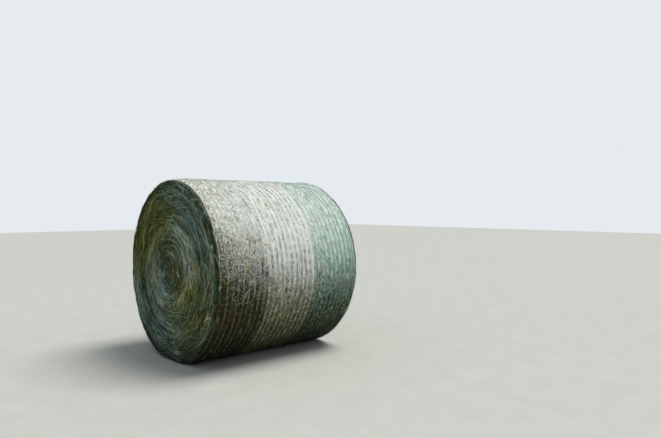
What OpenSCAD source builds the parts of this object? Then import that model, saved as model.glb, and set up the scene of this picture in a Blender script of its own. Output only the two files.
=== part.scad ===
// Round hay bale: a mat of hay rolled up round a tight core and bound in knitted net of three colours.
// Origin at the middle of the settled underside, rolling axis along Y, +Z up. The near end faces -Y.

/* [Bale] */
// Diameter over the net
bale_d = 1690; // [1300:10:1900]
// Width along the rolling axis, from end face to end face
bale_w = 1565; // [1400:5:1700]
// How far the round side has settled into a flat underside
sole_sink = 40; // [20:5:60]
// Radius of the shoulder between the round side and an end face
shoulder_r = 42; // [30:1:55]

/* [Hay mat] */
// Number of whole turns between the core and the outermost turn
laps = 15; // [10:1:18]
// Diameter of the tightly rolled core
core_d = 250; // [200:10:320]
// How far the core stands back from the first turn at each end
core_dish = 14; // [6:1:30]
// Radius of the rolled edge of each turn at the end faces
lap_edge_r = 12; // [6:1:14]
// How far the turns stand back from each other at the end faces, at most
lap_play = 9; // [3:1:15]
// Thickness of the mat's outer end, where it feathers out under the net
tail_t = 12; // [8:1:18]
// Where the mat's outer end lies, in degrees from +X towards +Z
tail_at = -150; // [-165:1:-130]
// How fast the flattening of the turns fades inwards, as a power of their radius
sink_fade = 5; // [4:0.5:7]

/* [Net] */
// Thickness of one layer of the stretched net
net_layer_t = 1; // [0.6:0.1:1.6]
// Number of times that the net goes round
net_wraps = 2.6; // [2:0.1:4]
// Distance between the chain cords that run round the bale
chain_pitch = 53; // [40:1:70]
// Width of a chain cord's ridge
chain_w = 14; // [8:1:20]
// Height of a chain cord's ridge over the net
chain_h = 3; // [2:0.5:5]
// How far the hay bulges out between the chain cords, which press it in
bulge_h = 4.5; // [2:0.5:7]
// Place of the chain cord next to the middle of the bale, from the middle
chain_shift = -13; // [-25:1:25]
// Where the white band starts, from the middle towards the near end
white_near = 300; // [150:5:400]
// Where the white band ends, from the middle towards the far end
white_far = 225; // [150:5:400]
// How far the net is drawn round the near shoulder, in degrees
near_wrap = 36; // [25:1:60]
// Width of hay left bare between the net's far edge and the far shoulder
far_bare = 9; // [6:1:30]
// Radius of the edge cord at each side of the net
edge_cord_r = 4; // [3:0.5:4.5]

/* [Fit] */
// Room between one layer and the next
lay_gap = 0.3; // [0.2:0.05:0.5]

/* [Hidden] */
$fn = 96;

// Lengths to a hundredth, so that pieces of one solid meet without a sliver between them
function snug(length) = round(100 * length) / 100;
function on_arc(r, a) = [snug(r * cos(a)), snug(r * sin(a))];

net_t = snug(net_wraps * net_layer_t);
hay_r = snug(bale_d / 2 - max(bulge_h, chain_h) - net_t - lay_gap);
axis_z = bale_d / 2 - sole_sink;
hay_sole_z = net_t + lay_gap;
half_w = bale_w / 2;

core_r = core_d / 2;
lap_pitch = 2 * snug((hay_r - tail_t - core_r) / (laps + 1) / 2);
shoulder_y = half_w - lap_play - shoulder_r;
least_sink = 1;
overshoot = 2 * lap_pitch;

// How each turn's ends stand back from the bale's two ends: the first turn stands proudest
near_step = 140;
far_step = 105;
function near_end(lap) = half_w - lap_play * (1 - cos(near_step * lap)) / 2;
function far_end(lap) = half_w - lap_play * (1 - cos(far_step * lap)) / 2;

// Inner radius of a turn at its start, and how far that circle is pressed flat below
function lap_r(lap) = core_r + lap * lap_pitch;
function lap_sink(lap) = sole_sink * pow(lap_r(lap) / hay_r, sink_fade);
function flat_drop(lap) = lap_sink(lap) < least_sink ? lap_r(lap) + overshoot : lap_r(lap) - lap_sink(lap);

far_edge_y = shoulder_y - far_bare;
chain_root = 1;
bend_steps = 3;

// The steep sides of a bulge: how far they reach in, and how high
cheek = 8;
cheek_h = snug(0.8 * bulge_h);

hay_pale = [0.80, 0.76, 0.58];
hay_brown = [0.62, 0.56, 0.36];
net_clear = [0.84, 0.86, 0.82];
net_bright = [0.95, 0.96, 0.95];
net_green = [0.48, 0.70, 0.64];

function lap_name(lap) = str("lap_", lap < 9 ? "0" : "", lap + 1);

// Places a solid of revolution on the rolling axis, with the sketch's +Y towards the near end
module on_axis() {
    translate([0, 0, axis_z]) rotate([90, 0, 0]) children();
}

// All the space above a level
module above(level) {
    translate([-bale_d, -bale_w, level]) cube([2 * bale_d, 2 * bale_w, 2 * bale_d]);
}

// Half section of a turn's roll, whose rolled edges are short straight steps round a quarter circle
module turn_section(r, near, far) {
    bend = [for (a = [0 : 30 : 90]) on_arc(lap_edge_r, a) - [lap_edge_r, lap_edge_r]];
    polygon(concat(
        [[0, -far]],
        [for (i = [1 : len(bend)]) let (step = bend[len(bend) - i]) [r + step[0], -far - step[1]]],
        [for (step = bend) [r, near] + step],
        [[0, near]]
    ));
}

// Half section of the whole bale, with round shoulders
module shoulder_section(r, near, far, edge_r) {
    translate([0, edge_r - far]) square([r, near + far - 2 * edge_r]);
    translate([0, -far]) square([r - edge_r, near + far]);
    translate([r - edge_r, near - edge_r]) circle(edge_r);
    translate([r - edge_r, edge_r - far]) circle(edge_r);
}

// Spiral roll of two half turns: the second is centred half a pitch aside, and so ends one pitch further out
module spiral_roll() {
    on_axis() rotate(tail_at) {
        rotate_extrude(angle = 180) children(0);
        translate([lap_pitch / 2, 0, 0]) rotate(180) rotate_extrude(angle = 180) children(1);
    }
}

// The roll as wound up to the start of a turn, pressed flat below
module rolled_to(lap, near, far) {
    r = lap_r(lap) - lay_gap;
    intersection() {
        spiral_roll() {
            turn_section(r, near, far);
            turn_section(r + lap_pitch / 2, near, far);
        }
        above(axis_z - flat_drop(lap) + lay_gap);
    }
}

// What the rolled-up part takes out of the turn round it
module room_for(lap) {
    intersection() {
        spiral_roll() {
            translate([0, -bale_w]) square([lap_r(lap), 2 * bale_w]);
            translate([0, -bale_w]) square([lap_r(lap) + lap_pitch / 2, 2 * bale_w]);
        }
        above(axis_z - flat_drop(lap));
    }
}

// Places of the chain cords between two bounds
function chains(from_y, to_y) = [
    for (i = [-ceil(half_w / chain_pitch) : ceil(half_w / chain_pitch)])
        let (y = chain_shift + i * chain_pitch)
            if (y > from_y + chain_w / 2 && y < to_y - chain_w / 2) y
];

// Half section of the hay's bulges between the chain cords, over a given radius
module bulges(r) {
    lines = chains(-shoulder_y, far_edge_y);
    for (i = [1 : len(lines) - 1])
        let (low = -lines[i] + chain_w / 2, high = -lines[i - 1] - chain_w / 2)
            polygon([
                [r - chain_root, low], [r, low], [r + cheek_h, low + cheek], [r + bulge_h, (low + high) / 2],
                [r + cheek_h, high - cheek], [r, high], [r - chain_root, high]
            ]);
}

// Outline of all the hay, grown all round
module hay_outline(grow, level) {
    end_y = half_w - lap_play + grow;
    intersection() {
        on_axis() rotate_extrude() {
            shoulder_section(hay_r + grow, end_y, end_y, shoulder_r + grow);
            bulges(hay_r + grow);
        }
        above(level);
    }
}

// Keeps the turns inside the shoulders, and lets their ends stand proud of the outermost turn
module inside_shoulders() {
    intersection() {
        on_axis() rotate_extrude() shoulder_section(hay_r, half_w, half_w, shoulder_r);
        above(hay_sole_z);
    }
}

module core() {
    color(hay_brown)
        rolled_to(0, half_w - core_dish, half_w - core_dish);
}

module lap_turn(lap) {
    color(lap % 2 == 0 ? hay_pale : hay_brown)
        intersection() {
            difference() {
                rolled_to(lap + 1, near_end(lap), far_end(lap));
                room_for(lap);
            }
            inside_shoulders();
        }
}

module tail_lap() {
    color(hay_pale)
        difference() {
            hay_outline(0, hay_sole_z);
            room_for(laps);
        }
}

// Cross-section of a chain cord with its foot in the net: flat-topped, with sloping sides
module chain_section() {
    polygon([
        [-chain_root, -chain_w / 2], [0, -chain_w / 2], [chain_h, -chain_w / 4],
        [chain_h, chain_w / 4], [0, chain_w / 2], [-chain_root, chain_w / 2]
    ]);
}

// Cross-section of an edge cord
module cord_section() {
    polygon([for (a = [0 : 45 : 315]) on_arc(edge_cord_r, a)]);
}

// The near edge, drawn round the shoulder, with its edge cord
module near_edge() {
    bend_r = shoulder_r + lay_gap + net_t;
    translate([hay_r - shoulder_r, shoulder_y]) {
        polygon(concat([[0, 0]], [for (i = [0 : bend_steps]) on_arc(bend_r, near_wrap * i / bend_steps)]));
        translate(on_arc(bend_r - net_t / 2, near_wrap)) cord_section();
    }
}

// The edge cord of the far edge, which stops short of the shoulder
module far_edge() {
    translate([snug(hay_r + lay_gap + net_t / 2), -far_edge_y]) cord_section();
}

// Half section of a band of the net and of the hay inside it, with a ridge for each chain cord
module band_section(from_y, to_y) {
    film_r = hay_r + lay_gap + net_t;
    translate([0, -to_y]) square([film_r, to_y - from_y]);
    intersection() {
        translate([0, -to_y]) square([bale_d, to_y - from_y]);
        bulges(film_r);
    }
    for (y = chains(from_y, to_y))
        translate([film_r, -y]) chain_section();
}

// One band of the net round the hay, flat under the bale; what is drawn with it joins its section
module net_band(from_y, to_y) {
    difference() {
        intersection() {
            on_axis() rotate_extrude() {
                band_section(from_y, to_y);
                children();
            }
            above(0);
        }
        hay_outline(lay_gap, net_t);
    }
}

module net_pale() {
    color(net_clear) net_band(-shoulder_y, -white_near - lay_gap) near_edge();
}

module net_white() {
    color(net_bright) net_band(-white_near, white_far);
}

module net_teal() {
    color(net_green) net_band(white_far + lay_gap, far_edge_y) far_edge();
}

core();
for (lap = [0 : laps - 1])
    lap_turn(lap);
tail_lap();
net_pale();
net_white();
net_teal();
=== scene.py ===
"""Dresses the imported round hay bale: its skin of hay, its stems, its knitted net, and the light and camera.

Lengths are in metres and angles in radians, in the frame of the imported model: the rolling axis lies
along Y, the near end faces -Y, and the settled underside rests on Z = 0.
"""

import logging
import math
from collections.abc import Iterator, Sequence
from contextlib import contextmanager
from dataclasses import dataclass, field
from enum import Enum

import bpy
import numpy as np
from mathutils import Euler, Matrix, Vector


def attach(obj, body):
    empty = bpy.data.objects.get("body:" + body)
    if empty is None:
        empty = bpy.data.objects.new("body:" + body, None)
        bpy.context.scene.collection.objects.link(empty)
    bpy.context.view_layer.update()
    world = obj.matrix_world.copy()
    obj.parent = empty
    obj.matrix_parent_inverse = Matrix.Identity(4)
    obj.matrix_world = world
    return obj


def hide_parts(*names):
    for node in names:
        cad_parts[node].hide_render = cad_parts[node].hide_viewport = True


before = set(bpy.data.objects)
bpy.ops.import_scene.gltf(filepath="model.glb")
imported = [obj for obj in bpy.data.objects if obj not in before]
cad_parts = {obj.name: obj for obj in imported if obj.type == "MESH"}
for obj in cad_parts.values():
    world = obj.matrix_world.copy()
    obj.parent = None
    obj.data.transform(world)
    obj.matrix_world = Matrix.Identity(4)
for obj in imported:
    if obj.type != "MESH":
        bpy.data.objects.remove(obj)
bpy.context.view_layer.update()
LOG = logging.getLogger("bale")

# Heights at which the hay is wholly dark, by dampness and painted shade, and wholly bleached and painted
# sunlit, and how that border leans and sags
SHADE_Z, SUN_Z, LEAN, SAG = 0.25, 1.17, 0.2, 0.22
# Middle of the stretch along the axis in which the net lies closest
LINED_AT = -0.04
# Seeds of the random draws
SIDE_SEED, FACE_SEED, ARC_SEED, NET_SEED = 26, 40, 5, 60

Array = np.ndarray
Span = tuple[float, float]
Colour = tuple[float, float, float]
Stops = list[tuple[float, Colour]]
# The sections of a cord or thread, and whether it closes on itself
Run = tuple[Array, bool]


class End(Enum):
    """The two end faces, by the sign of Y that they face."""

    NEAR = -1
    FAR = 1


class Band(Enum):
    """The net's three bands, by the record's material slot."""

    PALE = "net_pale"
    WHITE = "net_white"
    TEAL = "net_teal"


def linear(colour: Colour) -> tuple[float, float, float, float]:
    """Turns a colour as seen on a screen into the renderer's linear values, with an alpha of 1."""
    values = [c / 12.92 if c <= 0.04045 else ((c + 0.055) / 1.055) ** 2.4 for c in colour]
    return (values[0], values[1], values[2], 1.0)


def damp_and_shade(height: Array, along: Array) -> Array:
    """Returns how dark the hay is painted, by dampness and by painted shade, from 0 where the upper side is
    bleached and painted sunlit to 1 below.
    """
    part = np.clip((height + LEAN * along - SAG * along**2 - SHADE_Z) / (SUN_Z - SHADE_Z), 0, 1)
    return 1 - part * part * (3 - 2 * part)


@dataclass(frozen=True)
class Zone:
    """Heights, or places along the axis, over which the hay changes."""

    start: float
    full: float

    def share(self, value: Array) -> Array:
        """Returns how far each value has changed, from 0 at the start to 1 where the change is full."""
        return np.clip((value - self.start) / (self.full - self.start), 0, 1)

    def signal(self, value: "Signal") -> "Signal":
        """Returns the same share in a material."""
        return ((value - self.start) * (1 / (self.full - self.start))).kept()


# By height: bleached evenly, in the bale's own shade, and next to the ground, where painted shadow darkens
# the hay
HIGH, DEEP, FOOT = Zone(1.3, 1.55), Zone(0.6, 0.3), Zone(0.42, 0.12)
# Along the axis: where the net lies thin, where it is teal, and how far from LINED_AT it lies close
THIN, GREEN, LINED = Zone(-0.26, -0.34), Zone(0.25, 0.28), Zone(0.29, 0.26)


class Signal:
    """A shader socket that takes part in arithmetic, where each operation adds its Math node."""

    def __init__(self, sheet: "Sheet", socket: bpy.types.NodeSocket) -> None:
        """Keeps the socket and the sheet of nodes that it lies in."""
        self.sheet = sheet
        self.socket = socket

    def math(self, operation: str, *others: "Signal | float", first: bool = True) -> "Signal":
        """Adds a Math node that this signal feeds.

        Args:
            operation: Blender's name of the operation.
            others: The other values or signals.
            first: Whether this signal is the first input, and not the second.

        Returns:
            The node's result.
        """
        terms = [self, *others] if first else [*others, self]
        node = self.sheet.add("ShaderNodeMath", {"operation": operation}, dict(enumerate(terms)))
        return Signal(self.sheet, node.outputs[0])

    def __add__(self, other: "Signal | float") -> "Signal":
        """Adds a value."""
        return self.math("ADD", other)

    __radd__ = __add__

    def __sub__(self, other: "Signal | float") -> "Signal":
        """Takes a value off."""
        return self.math("SUBTRACT", other)

    def __rsub__(self, other: float) -> "Signal":
        """Is taken off a value."""
        return self.math("SUBTRACT", other, first=False)

    def __mul__(self, other: "Signal | float") -> "Signal":
        """Multiplies by a value."""
        return self.math("MULTIPLY", other)

    __rmul__ = __mul__

    def kept(self, low: float = 0.0, high: float = 1.0) -> "Signal":
        """Keeps the value between two limits."""
        return self.math("MAXIMUM", low).math("MINIMUM", high)


class Sheet:
    """The nodes of one material, or of the world."""

    def __init__(self, owner: bpy.types.Material | bpy.types.World) -> None:
        """Takes a new material or world and clears away its nodes.

        Args:
            owner: The material or world.
        """
        owner.use_nodes = True
        self.owner = owner
        self.tree = owner.node_tree
        self.tree.nodes.clear()

    def add(
        self,
        kind: str,
        settings: dict[str, object] | None = None,
        inputs: dict[str | int, object] | None = None,
    ) -> bpy.types.Node:
        """Adds a node, sets it and then fills its sockets.

        Args:
            kind: The node's type.
            settings: Its properties; "stops" holds a ramp's positions and screen colours.
            inputs: A value, a socket or a signal for each named or numbered socket.

        Returns:
            The new node.
        """
        node = self.tree.nodes.new(kind)
        for name, value in (settings or {}).items():
            if name == "stops":
                self._set_stops(node.color_ramp, value)
            else:
                setattr(node, name, value)
        for key, value in (inputs or {}).items():
            if isinstance(value, Signal):
                value = value.socket
            if isinstance(value, bpy.types.NodeSocket):
                self.tree.links.new(value, node.inputs[key])
            else:
                node.inputs[key].default_value = value
        return node

    def _set_stops(self, ramp: bpy.types.ColorRamp, stops: Stops) -> None:
        """Gives a ramp its stops.

        Args:
            ramp: The ramp, which starts with two stops.
            stops: Positions from 0 to 1 in rising order, each with its screen colour.
        """
        while len(ramp.elements) < len(stops):
            ramp.elements.new(1.0)
        for element, (position, colour) in zip(ramp.elements, stops, strict=True):
            element.position = position
            element.color = linear(colour)

    def signal(self, node: bpy.types.Node, output: str | int = 0) -> Signal:
        """Returns one of a node's outputs as a signal."""
        return Signal(self, node.outputs[output])

    def noise(self, place: Signal, scale: float, detail: float, roughness: float = 0.6) -> Signal:
        """Adds a noise texture of so many cells to a unit and finer layers, and returns its value."""
        inputs = {"Vector": place, "Scale": scale, "Detail": detail, "Roughness": roughness}
        return self.signal(self.add("ShaderNodeTexNoise", None, inputs))

    def place(self) -> Signal:
        """Returns the Object coordinates."""
        return self.signal(self.add("ShaderNodeTexCoord"), "Object")

    def parts(self, vector: Signal) -> tuple[Signal, Signal, Signal]:
        """Splits a vector into its three values."""
        node = self.add("ShaderNodeSeparateXYZ", None, {0: vector})
        return self.signal(node, 0), self.signal(node, 1), self.signal(node, 2)

    def vector(self, x: Signal | float, y: Signal | float, z: Signal | float) -> Signal:
        """Joins three values into a vector."""
        return self.signal(self.add("ShaderNodeCombineXYZ", None, {0: x, 1: y, 2: z}))

    def ramp(self, factor: Signal, stops: Stops) -> Signal:
        """Returns the colour that a ramp gives for a value."""
        return self.signal(self.add("ShaderNodeValToRGB", {"stops": stops}, {"Fac": factor}))

    def damp_and_shade(self, place: Signal) -> Signal:
        """Follows how dark the bale is painted at each height, by dampness and by painted shade.

        Args:
            place: Object coordinates.

        Returns:
            A share from 0 on the upper side to 1 below.
        """
        _, along, height = self.parts(place)
        border = height + along * LEAN - along * along * SAG
        limits = {0: border, 1: SHADE_Z, 2: SUN_Z, 3: 1.0, 4: 0.0}
        return self.signal(self.add("ShaderNodeMapRange", {"interpolation_type": "SMOOTHSTEP"}, limits))

    def mix(self, factor: Signal | float, first: Signal, second: Signal, blend: str = "MIX") -> Signal:
        """Mixes two colours.

        Args:
            factor: The share of the second colour.
            first: The first colour.
            second: The second colour.
            blend: Blender's name of the way of mixing.

        Returns:
            The mixed colour.
        """
        settings = {"data_type": "RGBA", "blend_type": blend}
        node = self.add("ShaderNodeMix", settings, {0: factor, 6: first, 7: second})
        return self.signal(node, 2)

    def close(self, colour: Signal, roughness: float, grain: Signal, depth: float) -> bpy.types.Material:
        """Ends the material in its surface shader.

        Args:
            colour: The base colour.
            roughness: The roughness all over.
            grain: The height that the bump follows.
            depth: How deep the bump is, in metres.

        Returns:
            The material.
        """
        bump = self.add("ShaderNodeBump", None, {"Height": grain, "Distance": depth, "Strength": 0.8})
        inputs = {"Base Color": colour, "Roughness": roughness, "Specular IOR Level": 0.25}
        inputs["Normal"] = bump.outputs[0]
        shader = self.add("ShaderNodeBsdfPrincipled", None, inputs)
        self.add("ShaderNodeOutputMaterial", None, {"Surface": shader.outputs[0]})
        return self.owner


@dataclass(frozen=True)
class HayTones:
    """Five tones of hay, from the darkest to the palest, as a screen shows them."""

    deep: Colour
    brown: Colour
    tan: Colour
    straw: Colour
    bleached: Colour

    def stops(self) -> Stops:
        """Returns the tones as a ramp's stops."""
        tones = (self.deep, self.brown, self.tan, self.straw, self.bleached)
        return list(zip((0.0, 0.3, 0.55, 0.78, 1.0), tones, strict=True))


# Hay of the upper side: bleached, and painted paler than its own colour, as if in sunlight
WEATHERED_AND_SUNLIT = HayTones(
    (0.57, 0.56, 0.52), (0.77, 0.79, 0.80), (0.87, 0.89, 0.89), (0.95, 0.95, 0.92), (1.0, 1.0, 1.0)
)
# Hay of the lower side: dark by its own dampness and by painted shade
DAMP_AND_SHADED = HayTones(
    (0.07, 0.07, 0.02), (0.16, 0.16, 0.07), (0.28, 0.28, 0.15), (0.46, 0.46, 0.31), (0.79, 0.79, 0.66)
)
# Cool hay of the end faces: partly its own grey-green, partly the blue of painted shade
COOL_AND_SHADED = HayTones(
    (0.18, 0.24, 0.21), (0.35, 0.46, 0.43), (0.53, 0.65, 0.62), (0.72, 0.82, 0.80), (0.90, 0.95, 0.94)
)
WARM = HayTones(
    (0.21, 0.21, 0.05), (0.40, 0.41, 0.15), (0.57, 0.58, 0.27), (0.74, 0.73, 0.42), (0.89, 0.87, 0.64)
)

# What a stem's hue multiplies its tone by, on the round side and on the end faces
SIDE_HUES = [
    (0.0, (1.0, 0.92, 0.56)),
    (0.2, (1.0, 0.96, 0.80)),
    (0.4, (0.97, 1.0, 0.86)),
    (0.6, (0.91, 1.0, 0.90)),
    (0.85, (0.92, 0.98, 1.0)),
    (1.0, (0.82, 0.97, 0.91)),
]
FACE_HUES = [
    (0.0, (1.0, 0.86, 0.70)),
    (0.3, (1.0, 0.97, 0.92)),
    (0.65, (0.95, 1.0, 0.99)),
    (1.0, (0.89, 1.0, 0.97)),
]


@dataclass(frozen=True)
class Patch:
    """A patch of an end face with its own colour and tone: mostly the rolled-in hay's own, in places painted
    shade.

    Attributes:
        angle: Angle of its middle round the eye, in degrees from +X towards +Z.
        radius: Distance of its middle from the eye.
        half_angle: How far it reaches round, in degrees.
        half_width: How far it reaches in and out.
        warmth: How much warmer than the hay round it it is.
        tone: How much paler it is.
    """

    angle: float
    radius: float
    half_angle: float
    half_width: float
    warmth: float
    tone: float

    def share(self, angle: Array, radius: Array) -> Array:
        """Returns how much each place belongs to the patch, for angles in degrees."""
        aside = (np.mod(angle - self.angle + 180, 360) - 180) / self.half_angle
        return np.exp(-(aside**2) - ((radius - self.radius) / self.half_width) ** 2)


# The dark patches low on the right, at about 320 degrees and far out, are painted shade where the bottom of
# the face lies in shadow
PATCHES = (
    Patch(0, 0.37, 9999, 0.06, 0.0, 0.04),
    Patch(0, 0.50, 9999, 0.06, 0.05, -0.06),
    Patch(5, 0.13, 50, 0.07, -0.15, -0.22),
    Patch(328, 0.18, 30, 0.08, 0.4, -0.16),
    Patch(130, 0.19, 45, 0.08, 0.45, -0.14),
    Patch(55, 0.25, 50, 0.06, -0.05, -0.10),
    Patch(319, 0.21, 16, 0.045, 0.35, -0.24),
    Patch(126, 0.17, 18, 0.04, 0.4, -0.20),
    Patch(89, 0.235, 18, 0.045, -0.1, -0.24),
    Patch(215, 0.27, 60, 0.15, -0.42, 0.26),
    Patch(182, 0.305, 14, 0.03, 0.0, 0.18),
    Patch(222, 0.27, 13, 0.04, -0.3, 0.22),
    Patch(238, 0.345, 9, 0.03, 0.0, 0.14),
    Patch(280, 0.36, 13, 0.03, 0.2, 0.20),
    Patch(270, 0.32, 28, 0.09, -0.1, 0.10),
    Patch(123, 0.375, 15, 0.02, 0.5, 0.16),
    Patch(170, 0.37, 35, 0.09, 0.0, 0.10),
    Patch(35, 0.39, 50, 0.08, -0.5, 0.30),
    Patch(60, 0.405, 14, 0.035, -0.4, 0.28),
    Patch(8, 0.40, 17, 0.03, -0.2, 0.26),
    Patch(335, 0.42, 10, 0.05, 0.3, -0.18),
    Patch(325, 0.37, 45, 0.15, 0.5, 0.04),
    Patch(120, 0.50, 45, 0.19, 0.7, -0.05),
    Patch(155, 0.56, 12, 0.05, 0.2, -0.14),
    Patch(240, 0.50, 40, 0.06, -0.4, 0.0),
    Patch(0, 0.62, 28, 0.09, 0.0, 0.12),
    Patch(60, 0.62, 50, 0.20, -0.4, -0.08),
    Patch(165, 0.66, 45, 0.12, 0.32, -0.05),
    Patch(142, 0.74, 32, 0.11, 0.35, -0.13),
    Patch(40, 0.76, 35, 0.06, -0.15, 0.08),
    Patch(212, 0.71, 24, 0.15, -0.35, 0.18),
    Patch(250, 0.68, 40, 0.15, -0.75, 0.03),
    Patch(270, 0.79, 32, 0.08, -0.1, -0.14),
    Patch(322, 0.74, 40, 0.13, 0.0, -0.27),
    Patch(320, 0.65, 38, 0.12, 0.4, -0.16),
)


@dataclass(frozen=True)
class Tuft:
    """A few pale stems that stand out from the hay at one place.

    Attributes:
        angle: Its angle, in degrees from +X towards +Z.
        place: Its distance from the eye on an end face, or its place along the axis on the round side.
        heading: Which way it points, in radians off the way round.
        count: Number of its stems.
        spread: How far apart they lie.
        length: Their length.
    """

    angle: float
    place: float
    heading: float
    count: int
    spread: float
    length: float


FACE_TUFTS = (
    Tuft(19.5, 0.776, 0.9, 7, 0.006, 0.045),
    Tuft(-9, 0.205, -0.5, 6, 0.016, 0.075),
    Tuft(-114, 0.334, 0.3, 16, 0.016, 0.12),
    Tuft(-128, 0.36, 0.7, 8, 0.02, 0.10),
    Tuft(152, 0.80, 1.2, 3, 0.004, 0.10),
    Tuft(-26, 0.765, 0.5, 6, 0.008, 0.05),
)
SIDE_TUFTS = (
    Tuft(-2.5, -0.475, 0.9, 4, 0.013, 0.075),
    Tuft(-7.5, -0.52, 0.8, 3, 0.013, 0.06),
)


@dataclass(frozen=True)
class CutHayFinish:
    """The cut ends and crushed stems that an end face shows between its longer stems."""

    axis_z: float
    rings: float = 70.0
    arcs: float = 5.0
    eye_r: float = 0.1

    def material(self) -> bpy.types.Material:
        """Makes a dark hay whose streaks run round the rolling axis.

        Returns:
            The material, which reads Object coordinates.
        """
        sheet = Sheet(bpy.data.materials.new("cut_hay"))
        place = sheet.place()
        across, along, height = sheet.parts(place)
        up = height - self.axis_z
        radius = (across * across + up * up).math("SQRT")
        angle = up.math("ARCTAN2", across)
        rolled = sheet.vector(radius * self.rings, angle * self.arcs, along * 30.0)
        arcs = sheet.noise(rolled, 1.0, 5.0, 0.7)
        grain = sheet.noise(place, 160.0, 3.0)
        patches = sheet.noise(place, 3.5, 2.0)
        eye = (self.eye_r - radius).math("MAXIMUM", 0.0) * 2.5
        tone = (arcs - 0.5) * 1.7 + (grain - 0.5) * 0.5 + 0.16 - eye
        # The cool tones are partly painted shade
        cool, warm = sheet.ramp(tone, COOL_AND_SHADED.stops()), sheet.ramp(tone, WARM.stops())
        colour = sheet.mix((patches - 0.5) * 3.0 + eye + 0.5, cool, warm)
        return sheet.close(colour, 0.9, arcs + grain * 0.4, 0.006)


@dataclass(frozen=True)
class SkinFinish:
    """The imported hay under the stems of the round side, laid by its own lengthwise map.

    Attributes:
        near_edge: How far towards the near end the net covers the hay, from the middle.
        far_edge: The same towards the far end.
        shade_z: The height below which the skin lies in the bale's own shade.
        thin: Where the net lies thin, along the axis.
        lined: How far from LINED_AT the net lies close.
    """

    near_edge: float = 0.75
    far_edge: float = 0.722
    shade_z: float = 0.5
    thin: Zone = Zone(-3.1 / 12, -4.1 / 12)
    lined: Zone = Zone(0.29, 0.29 - 1 / 33)

    def material(self) -> bpy.types.Material:
        """Makes a hay of short crossing fibres.

        Returns:
            The material, which reads the piece's "lay" map in metres.
        """
        sheet = Sheet(bpy.data.materials.new("packed_hay"))
        lay = sheet.signal(sheet.add("ShaderNodeUVMap", {"uv_map": "lay"}))
        around, along, _ = sheet.parts(lay)
        fibres = sheet.noise(sheet.vector(around * 55.0, along * 190.0, 0.0), 1.0, 4.0, 0.7)
        crossing = sheet.noise(sheet.vector(around * 170.0, along * 60.0, 7.0), 1.0, 4.0, 0.7)
        specks = sheet.noise(sheet.vector(around * 70.0, along * 90.0, 3.0), 1.0, 2.0)
        patches = sheet.noise(lay, 5.0, 3.0)
        place = sheet.place()
        height = sheet.parts(place)[2]
        high, thin = HIGH.signal(height), self.thin.signal(along)
        lined = self.lined.signal((along - LINED_AT).math("ABSOLUTE"))
        tone = (fibres + crossing - 1.0) * (1.2 - high * 0.6) + (patches - 0.5) * 0.3 + 0.74
        # Beyond the net's edges the bare shoulders take the dark tones fully: dampness and painted shade
        bare = (along * -1.0 - self.near_edge).math("MAXIMUM", along - self.far_edge) * 30.0
        # The dark tones take over lower down, by dampness and painted shade, speckled half way up
        wet_and_shade = sheet.damp_and_shade(place)
        speckled = (specks - 0.5) * (16.0 - lined * 12.0) + (patches - 0.5) * 4.0
        share = wet_and_shade * (1.5 - lined * 0.4) + wet_and_shade * (1.0 - wet_and_shade) * speckled
        share = share.math("MAXIMUM", bare).kept()
        shade = (self.shade_z - height).math("MAXIMUM", 0.0) * 0.5
        dark = tone - share * 0.32 - wet_and_shade * wet_and_shade * (thin * 0.14 + 0.05) + wet_and_shade * lined * 0.14 - shade
        colour = sheet.mix(share, sheet.ramp(tone, WEATHERED_AND_SUNLIT.stops()), sheet.ramp(dark, DAMP_AND_SHADED.stops()))
        return sheet.close(colour, 0.9, fibres + crossing, 0.004)


@dataclass(frozen=True)
class StemFinish:
    """Dry stems, each with its own tone, its share of warm colour (on the round side a dark one that is
    partly painted shade), and a painted light and shade for its depth in the hay.
    """

    hues: Stops

    def material(self, name: str, cool: HayTones, warm: HayTones) -> bpy.types.Material:
        """Makes a hay that reads each stem's tint.

        Args:
            name: The material's name.
            cool: The tones where the tint's warmth is 0.
            warm: The tones where it is 1.

        Returns:
            The material, which reads the piece's "tint" colours: tone, warmth, light and hue.
        """
        sheet = Sheet(bpy.data.materials.new(name))
        tints = sheet.add("ShaderNodeAttribute", {"attribute_name": "tint"})
        parts = sheet.add("ShaderNodeSeparateColor", None, {0: tints.outputs["Color"]})
        streaks = sheet.noise(sheet.place(), 90.0, 3.0)
        tone = sheet.signal(parts, 0) + (streaks - 0.5) * 0.35
        warmth, light = sheet.signal(parts, 1), sheet.signal(parts, 2)
        colour = sheet.mix(warmth, sheet.ramp(tone, cool.stops()), sheet.ramp(tone, warm.stops()))
        colour = sheet.mix(1.0, colour, sheet.ramp(sheet.signal(tints, "Alpha"), self.hues), "MULTIPLY")
        shade = sheet.vector(light, light, light)
        return sheet.close(sheet.mix(1.0, colour, shade, "MULTIPLY"), 0.8, streaks, 0.001)


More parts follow.
